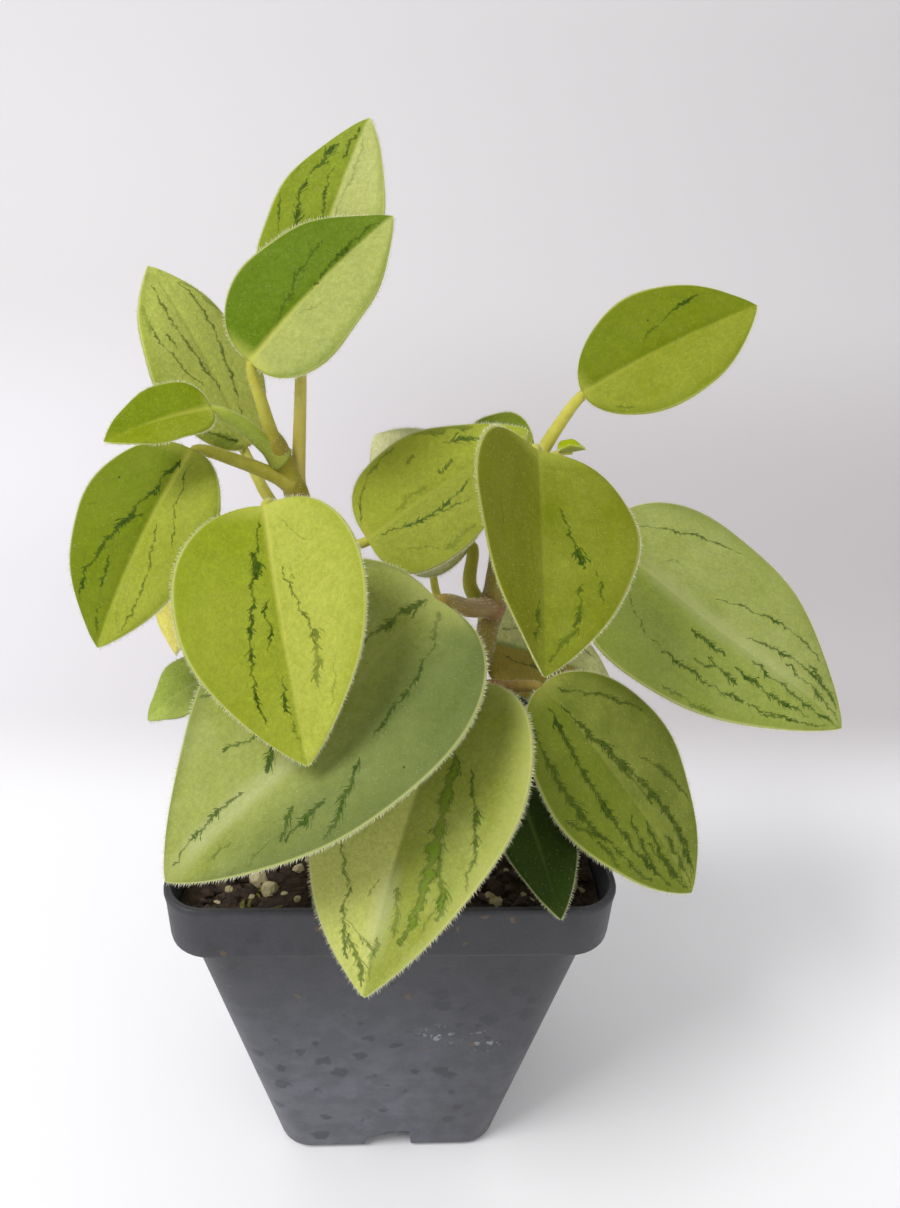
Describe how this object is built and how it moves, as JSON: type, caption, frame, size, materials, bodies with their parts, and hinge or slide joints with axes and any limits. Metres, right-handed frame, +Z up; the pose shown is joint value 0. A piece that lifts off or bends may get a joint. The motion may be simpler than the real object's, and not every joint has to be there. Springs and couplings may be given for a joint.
{
  "type": "potted peperomia",
  "caption": "Potted peperomia: fuzzy lime-green heart-shaped leaves with broken dark streaks, on two stems in potting mix, in a tapered square charcoal nursery pot.",
  "frame": {"origin": "middle of the pot's base, on the surface that it stands on", "axes": "+Z up the plant, +X to the right and -Y towards the viewer in the picture"},
  "size_m": [0.1589, 0.107, 0.2261],
  "materials": {
    "pot": "satin moulded plastic with dusty haze and specks of soil",
    "soil": "rough dark potting mix with cream perlite and bark",
    "stem": "fuzzy yellow-green stem turning brown at the nodes",
    "leaf_lime": "velvety lime leaf, pale midrib, broken dark green streaks, pale hairy margin",
    "leaf_green": "velvety yellow-green leaf, pale midrib, broken dark green streaks",
    "leaf_grey": "velvety grey-green leaf, broken dark green streaks, pale hairy margin",
    "leaf_dark": "smooth dark green leaf with a pale margin",
    "leaf_yellow": "soft yellow fading leaf"
  },
  "bodies": {
    "root": {"pot": "pot", "soil": "soil", "stem_left": "stem", "stem_right": "stem", "leaf_top_back": "leaf_lime", "leaf_top_front": "leaf_lime", "leaf_left_back": "leaf_lime", "leaf_left_small": "leaf_green", "leaf_left_mid": "leaf_green", "leaf_front_left": "leaf_lime", "leaf_low_left": "leaf_grey", "leaf_front_low": "leaf_grey", "leaf_dark_small": "leaf_dark", "leaf_right_low": "leaf_lime", "leaf_right_big": "leaf_grey", "leaf_centre_front": "leaf_green", "leaf_centre_left": "leaf_green", "leaf_right_top": "leaf_green", "leaf_low_small": "leaf_dark", "leaf_yellow": "leaf_yellow", "leaf_back_pale": "leaf_grey", "leaf_back_upper": "leaf_green", "leaf_right_back": "leaf_dark", "leaf_new": "leaf_green", "leaf_back_low": "leaf_dark"}
  },
  "joints": []
}
